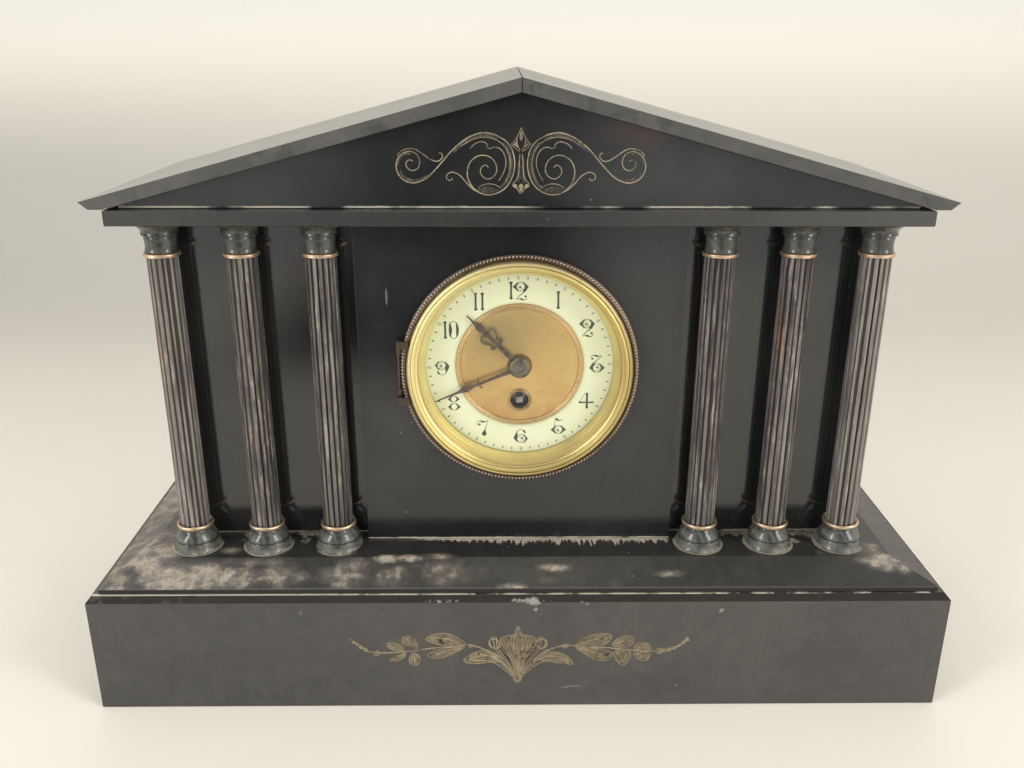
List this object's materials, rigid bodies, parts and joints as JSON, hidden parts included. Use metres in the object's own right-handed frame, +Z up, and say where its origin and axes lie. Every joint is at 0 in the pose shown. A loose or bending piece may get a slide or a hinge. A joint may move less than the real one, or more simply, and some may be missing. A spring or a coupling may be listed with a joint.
{
  "type": "mantel clock",
  "caption": "Black slate mantel clock with a temple front, fluted columns, a hinged glazed bezel, an enamel dial and a pendulum movement.",
  "frame": {"origin": "middle of the plinth's underside", "axes": "+X to the right as seen by someone who faces the dial, +Y from the front to the back, +Z up"},
  "size_m": [0.4, 0.155, 0.2875],
  "materials": {
    "slate": "polished, worn and dusty",
    "turned_slate": "polished",
    "bronzed_shaft": "worn copper bronze",
    "bezel_brass": "lacquered brass, tarnished",
    "dark_bronze": "dark and tarnished",
    "gilt": "matt gilt",
    "enamel": "glossy cream enamel",
    "hand_steel": "blued, aged to brown",
    "train_brass": "brushed",
    "train_steel": "brushed",
    "glass": "clear, bevelled edge"
  },
  "bodies": {
    "case": {"plinth_block": "slate", "plinth_slab": "slate", "dial_block": "slate", "front_panel_left": "slate", "front_panel_right": "slate", "side_wall_left": "slate", "side_wall_right": "slate", "back_wall": "slate", "entablature": "slate", "tympanum": "slate", "rear_gable": "slate", "roof_slab_left": "slate", "roof_slab_right": "slate", "column_base_1": "turned_slate", "column_base_2": "turned_slate", "column_base_3": "turned_slate", "column_base_4": "turned_slate", "column_base_5": "turned_slate", "column_base_6": "turned_slate", "column_shaft_1": "bronzed_shaft", "column_shaft_2": "bronzed_shaft", "column_shaft_3": "bronzed_shaft", "column_shaft_4": "bronzed_shaft", "column_shaft_5": "bronzed_shaft", "column_shaft_6": "bronzed_shaft", "column_capital_1": "turned_slate", "column_capital_2": "turned_slate", "column_capital_3": "turned_slate", "column_capital_4": "turned_slate", "column_capital_5": "turned_slate", "column_capital_6": "turned_slate", "bezel_mount": "dark_bronze", "bezel_hinge_pin": "dark_bronze", "sight_ring": "bezel_brass", "chapter_ring": "enamel", "dial_pan": "gilt", "front_plate": "train_brass", "back_plate": "train_brass", "back_cock": "train_brass", "rear_ring": "train_brass", "strap_left": "train_brass", "strap_right": "train_brass"},
    "front_bezel": {"bezel": "bezel_brass", "bezel_glass": "glass"},
    "minute_arbor": {"minute_hand": "hand_steel", "cannon_pinion": "train_steel", "centre_wheel": "train_brass"},
    "hour_pipe": {"hour_hand": "hand_steel", "hour_wheel": "train_brass"},
    "motion_wheel": {"minute_wheel": "train_brass"},
    "intermediate_arbor": {"intermediate_wheel": "train_brass"},
    "spring_barrel": {"barrel": "train_brass"},
    "third_arbor": {"third_wheel": "train_brass"},
    "escape_arbor": {"escape_wheel": "train_brass"},
    "pendulum": {"pendulum_rod": "train_steel", "pendulum_bob": "train_brass"},
    "pallet_arbor": {"pallets": "train_steel"},
    "key_arbor": {"winding_arbor": "train_steel"},
    "ratchet_click": {"click": "train_steel"},
    "back_door": {"rear_door": "train_brass"}
  },
  "joints": [
    {"name": "bezel_hinge", "type": "hinge", "parent": "case", "child": "front_bezel", "pos_m": [-0.0555, -0.0429, 0.158], "axis": [0, 0, -1], "range_deg": [0, 105]},
    {"name": "rear_door_hinge", "type": "hinge", "parent": "case", "child": "back_door", "pos_m": [-0.0524, 0.0745, 0.158], "axis": [0, 0, 1], "range_deg": [0, 110]},
    {"name": "minute_hand_turn", "type": "hinge", "parent": "case", "child": "minute_arbor", "pos_m": [0, -0.037, 0.158], "axis": [0, 1, 0], "continuous": true},
    {"name": "hour_hand_turn", "type": "hinge", "parent": "case", "child": "hour_pipe", "pos_m": [0, -0.036, 0.158], "axis": [0, 1, 0], "continuous": true},
    {"name": "minute_wheel_turn", "type": "hinge", "parent": "case", "child": "motion_wheel", "pos_m": [-0.00849, -0.0285, 0.16649], "axis": [0, 1, 0], "continuous": true},
    {"name": "intermediate_wheel_turn", "type": "hinge", "parent": "case", "child": "intermediate_arbor", "pos_m": [-0.01136, -0.012, 0.15254], "axis": [0, 1, 0], "continuous": true},
    {"name": "barrel_turn", "type": "hinge", "parent": "case", "child": "spring_barrel", "pos_m": [0, -0.01, 0.1408], "axis": [0, 1, 0], "continuous": true},
    {"name": "third_wheel_turn", "type": "hinge", "parent": "case", "child": "third_arbor", "pos_m": [0.00827, -0.012, 0.16627], "axis": [0, 1, 0], "continuous": true},
    {"name": "escape_wheel_turn", "type": "hinge", "parent": "case", "child": "escape_arbor", "pos_m": [0, -0.012, 0.1734], "axis": [0, 1, 0], "continuous": true},
    {"name": "pendulum_swing", "type": "hinge", "parent": "case", "child": "pendulum", "pos_m": [0, 0.0116, 0.18471], "axis": [0, 1, 0], "range_deg": [-4, 4]},
    {"name": "pallets_rock", "type": "hinge", "parent": "case", "child": "pallet_arbor", "pos_m": [0, -0.008, 0.18471], "axis": [0, 1, 0], "range_deg": [-4, 4]},
    {"name": "key_turn", "type": "hinge", "parent": "case", "child": "key_arbor", "pos_m": [0, -0.033, 0.1408], "axis": [0, 1, 0], "continuous": true},
    {"name": "click_lift", "type": "hinge", "parent": "case", "child": "ratchet_click", "pos_m": [0.0084, -0.0274, 0.1353], "axis": [0, 1, 0], "range_deg": [0, 10], "stiffness_Nm_per_rad": 0.001}
  ],
  "couplings": [
    {"joint": "hour_hand_turn", "follows": "minute_hand_turn", "ratio": 0.083333},
    {"joint": "minute_wheel_turn", "follows": "minute_hand_turn", "ratio": -0.33333},
    {"joint": "intermediate_wheel_turn", "follows": "minute_hand_turn", "ratio": -0.16667},
    {"joint": "barrel_turn", "follows": "minute_hand_turn", "ratio": 0.027778},
    {"joint": "third_wheel_turn", "follows": "minute_hand_turn", "ratio": -12},
    {"joint": "escape_wheel_turn", "follows": "minute_hand_turn", "ratio": 144},
    {"joint": "pallets_rock", "follows": "pendulum_swing", "ratio": 1}
  ]
}
